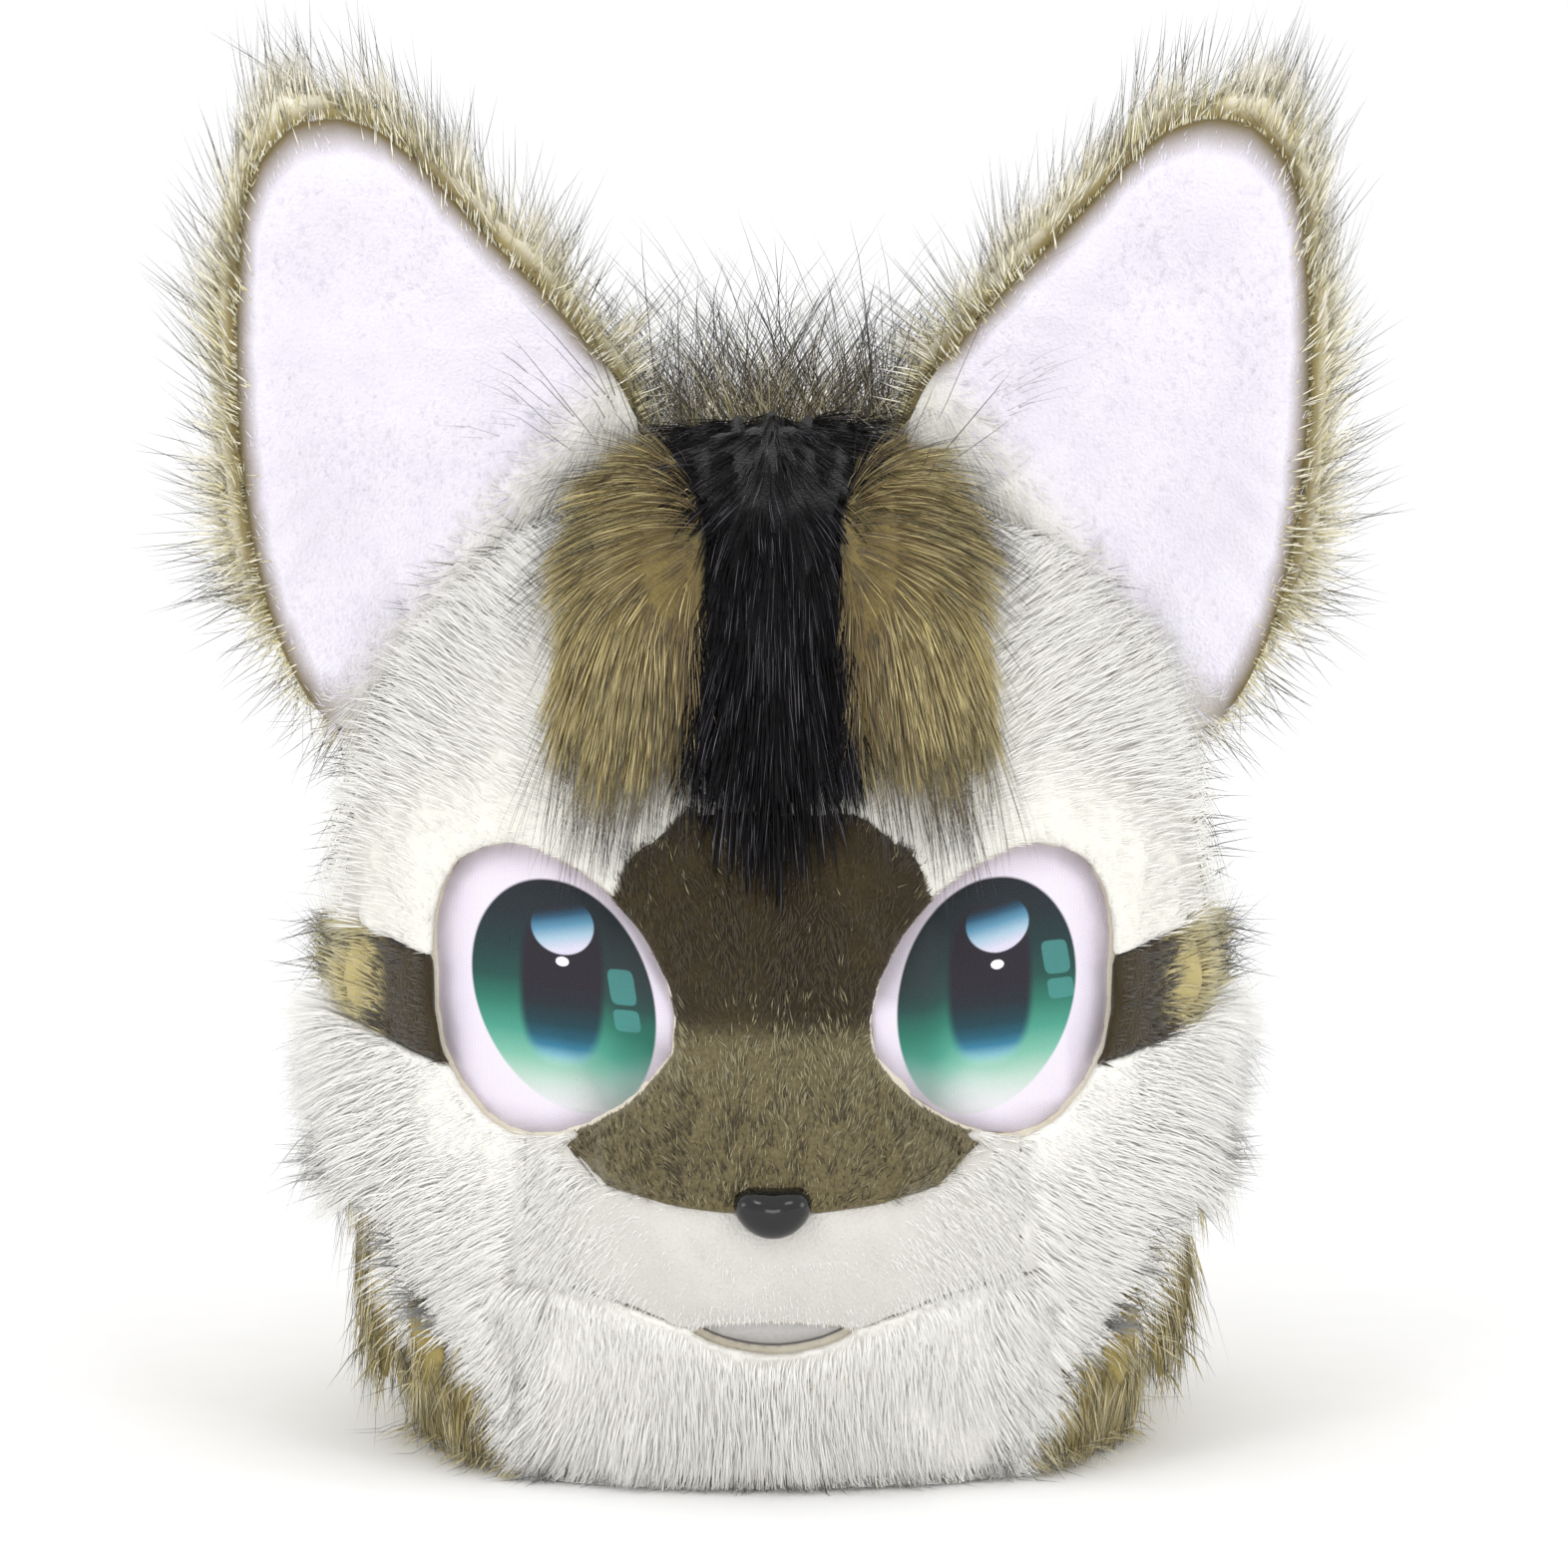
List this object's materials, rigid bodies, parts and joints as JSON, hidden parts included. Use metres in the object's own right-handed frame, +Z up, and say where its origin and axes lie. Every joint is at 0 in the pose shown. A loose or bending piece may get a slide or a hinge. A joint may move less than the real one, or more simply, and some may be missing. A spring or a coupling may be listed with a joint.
{
  "type": "fursuit head",
  "caption": "Hollow padded animal costume head with long fur, large upright ears, forelock, mesh eyes, short muzzle and an open neck.",
  "frame": {"origin": "middle of the whole head's outline in plan, at the level of the neck rim on the floor", "axes": "+Z up, -Y out of the face, +X to the right seen from the front"},
  "size_m": [0.3504, 0.3058, 0.4209],
  "materials": {
    "foam": "matt padded cloth",
    "white_fur": "long soft fur",
    "tan_fur": "long fur, tan with black tips",
    "white_pile": "short plush",
    "brown_pile": "short mottled pile",
    "stripe_fur": "long fur, brown to tan",
    "eye_cloth": "fine printed mesh",
    "nose_gloss": "gloss",
    "grey_cloth": "smooth",
    "ear_plush": "short plush",
    "black_fur": "long fur, soft sheen"
  },
  "bodies": {
    "root": {"head_wall": "foam", "forehead_fur": "white_fur", "cheek_fur_right": "white_fur", "cheek_fur_left": "white_fur", "back_fur": "tan_fur", "jaw_fur": "white_fur", "muzzle_fur": "white_pile", "bridge_patch": "brown_pile", "cheek_stripe_right": "stripe_fur", "cheek_stripe_left": "stripe_fur", "eye_mesh_right": "eye_cloth", "eye_mesh_left": "eye_cloth", "nose": "nose_gloss", "mouth_lining": "grey_cloth", "ear_right": "tan_fur", "ear_left": "tan_fur", "ear_inner_right": "ear_plush", "ear_inner_left": "ear_plush", "forelock_black": "black_fur", "forelock_tan_right": "tan_fur", "forelock_tan_left": "tan_fur"}
  },
  "joints": []
}
